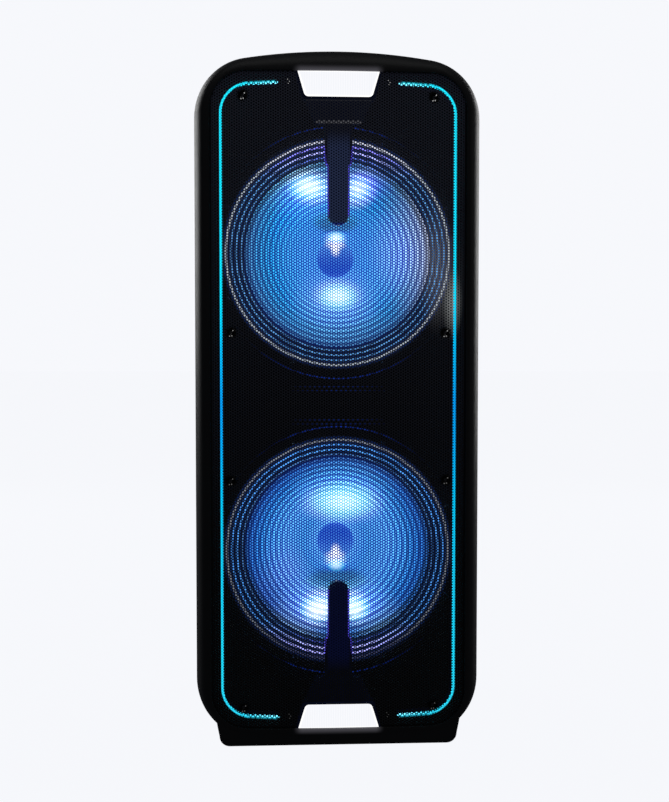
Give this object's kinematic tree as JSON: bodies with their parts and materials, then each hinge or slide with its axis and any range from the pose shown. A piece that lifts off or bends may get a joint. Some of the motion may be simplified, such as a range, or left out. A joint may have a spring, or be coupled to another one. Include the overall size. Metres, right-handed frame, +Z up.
{
  "type": "party speaker",
  "caption": "Tall floor-standing trolley speaker with two large woofers behind a perforated grille, cyan light strips, white strobe panels, pull-up handle and wheels.",
  "frame": {"origin": "on the floor, under the middle of the speaker's width and depth", "axes": "+X to the speaker's right as seen from the front, +Y towards the back (the front faces -Y), +Z up"},
  "size_m": [0.366, 0.34, 0.887],
  "materials": {
    "cabinet_plastic": "finely textured black moulded plastic",
    "baffle_board": "plain black moulded board",
    "grille_metal": "black powder coat on perforated steel sheet",
    "arm_plastic": "smooth black",
    "strip_light": "frosted light guide, lit cyan",
    "strobe_light": "ribbed clear panel, lit white",
    "spot_light": "clear lens, lit blue white",
    "cone_plastic": "ribbed pale polypropylene",
    "surround_rubber": "corrugated treated edge",
    "cap_plastic": "smooth dome",
    "spider_cloth": "resin dipped corrugated cloth",
    "frame_metal": "satin black on pressed steel",
    "steel": "plain plated steel",
    "magnet_ferrite": "dull grey ferrite",
    "coil_copper": "varnished copper winding",
    "black_rubber": "moulded rubber",
    "tyre_rubber": "ribbed tread",
    "hub_plastic": "satin dark grey",
    "tube_metal": "satin anodised",
    "panel_plastic": "smooth black",
    "knob_plastic": "satin black with a pale pointer",
    "button_plastic": "satin dark grey",
    "display_glass": "dark window over a segment display",
    "circuit_board": "green board with parts on it",
    "battery_plastic": "dark grey case"
  },
  "bodies": {
    "root": {"front_bezel": "cabinet_plastic", "front_baffle": "baffle_board", "grille": "grille_metal", "rear_shell": "cabinet_plastic", "base_plinth": "cabinet_plastic", "left_light_strip": "strip_light", "right_light_strip": "strip_light", "wheel_axle": "steel", "left_handle_sleeve": "tube_metal", "right_handle_sleeve": "tube_metal", "control_panel": "panel_plastic", "display_window": "display_glass", "mic_jack": "steel", "mains_inlet": "panel_plastic", "amplifier_board": "circuit_board", "battery": "battery_plastic", "port_tube": "cabinet_plastic", "upper_light_arm": "arm_plastic", "upper_strobe_lens": "strobe_light", "upper_spot_lens": "spot_light", "upper_woofer_frame": "frame_metal", "upper_surround": "surround_rubber", "upper_spider": "spider_cloth", "upper_top_plate": "steel", "upper_magnet": "magnet_ferrite", "upper_yoke": "steel", "lower_light_arm": "arm_plastic", "lower_strobe_lens": "strobe_light", "lower_spot_lens": "spot_light", "lower_woofer_frame": "frame_metal", "lower_surround": "surround_rubber", "lower_spider": "spider_cloth", "lower_top_plate": "steel", "lower_magnet": "magnet_ferrite", "lower_yoke": "steel", "front_left_foot": "black_rubber", "front_right_foot": "black_rubber", "back_left_foot": "black_rubber", "back_right_foot": "black_rubber"},
    "upper_cone_body": {"upper_cone": "cone_plastic", "upper_dust_cap": "cap_plastic", "upper_voice_coil": "coil_copper"},
    "lower_cone_body": {"lower_cone": "cone_plastic", "lower_dust_cap": "cap_plastic", "lower_voice_coil": "coil_copper"},
    "trolley_handle": {"left_handle_tube": "tube_metal", "right_handle_tube": "tube_metal", "handle_grip": "cabinet_plastic"},
    "handle_release": {"handle_button": "button_plastic"},
    "left_wheel": {"left_wheel_tyre": "tyre_rubber", "left_wheel_hub": "hub_plastic"},
    "right_wheel": {"right_wheel_tyre": "tyre_rubber", "right_wheel_hub": "hub_plastic"},
    "volume_control": {"volume_knob": "knob_plastic"},
    "tone_control": {"tone_knob": "knob_plastic"},
    "mic_control": {"mic_knob": "knob_plastic"},
    "mode_key": {"mode_button": "button_plastic"},
    "play_key": {"play_button": "button_plastic"},
    "light_key": {"light_button": "button_plastic"},
    "power_rocker": {"power_switch": "button_plastic"}
  },
  "joints": [
    {"name": "upper_cone_travel", "type": "slide", "parent": "root", "child": "upper_cone_body", "axis": [0, -1, 0], "range_m": [-0.005, 0.005], "stiffness_N_per_m": 2600, "deforming": ["upper_surround", "upper_spider"]},
    {"name": "lower_cone_travel", "type": "slide", "parent": "root", "child": "lower_cone_body", "axis": [0, -1, 0], "range_m": [-0.005, 0.005], "stiffness_N_per_m": 2600, "deforming": ["lower_surround", "lower_spider"]},
    {"name": "trolley_slide", "type": "slide", "parent": "root", "child": "trolley_handle", "axis": [0, 0, 1], "range_m": [0, 0.29]},
    {"name": "release_press", "type": "slide", "parent": "trolley_handle", "child": "handle_release", "axis": [0, 0, -1], "range_m": [0, 0.004], "stiffness_N_per_m": 900},
    {"name": "left_wheel_spin", "type": "hinge", "parent": "root", "child": "left_wheel", "pos_m": [-0.134, 0.127, 0.0445], "axis": [1, 0, 0], "continuous": true},
    {"name": "right_wheel_spin", "type": "hinge", "parent": "root", "child": "right_wheel", "pos_m": [0.134, 0.127, 0.0445], "axis": [1, 0, 0], "continuous": true},
    {"name": "volume_turn", "type": "hinge", "parent": "root", "child": "volume_control", "pos_m": [0, 0.1364, 0.708], "axis": [0, -1, 0], "range_deg": [-150, 150]},
    {"name": "tone_turn", "type": "hinge", "parent": "root", "child": "tone_control", "pos_m": [-0.044, 0.1364, 0.622], "axis": [0, -1, 0], "range_deg": [-150, 150]},
    {"name": "mic_turn", "type": "hinge", "parent": "root", "child": "mic_control", "pos_m": [0.044, 0.1364, 0.622], "axis": [0, -1, 0], "range_deg": [-150, 150]},
    {"name": "mode_press", "type": "slide", "parent": "root", "child": "mode_key", "axis": [0, -1, 0], "range_m": [0, 0.0015], "stiffness_N_per_m": 700},
    {"name": "play_press", "type": "slide", "parent": "root", "child": "play_key", "axis": [0, -1, 0], "range_m": [0, 0.0015], "stiffness_N_per_m": 700},
    {"name": "light_press", "type": "slide", "parent": "root", "child": "light_key", "axis": [0, -1, 0], "range_m": [0, 0.0015], "stiffness_N_per_m": 700},
    {"name": "power_rock", "type": "hinge", "parent": "root", "child": "power_rocker", "pos_m": [0.046, 0.1575, 0.15], "axis": [1, 0, 0], "range_deg": [0, 12]}
  ]
}
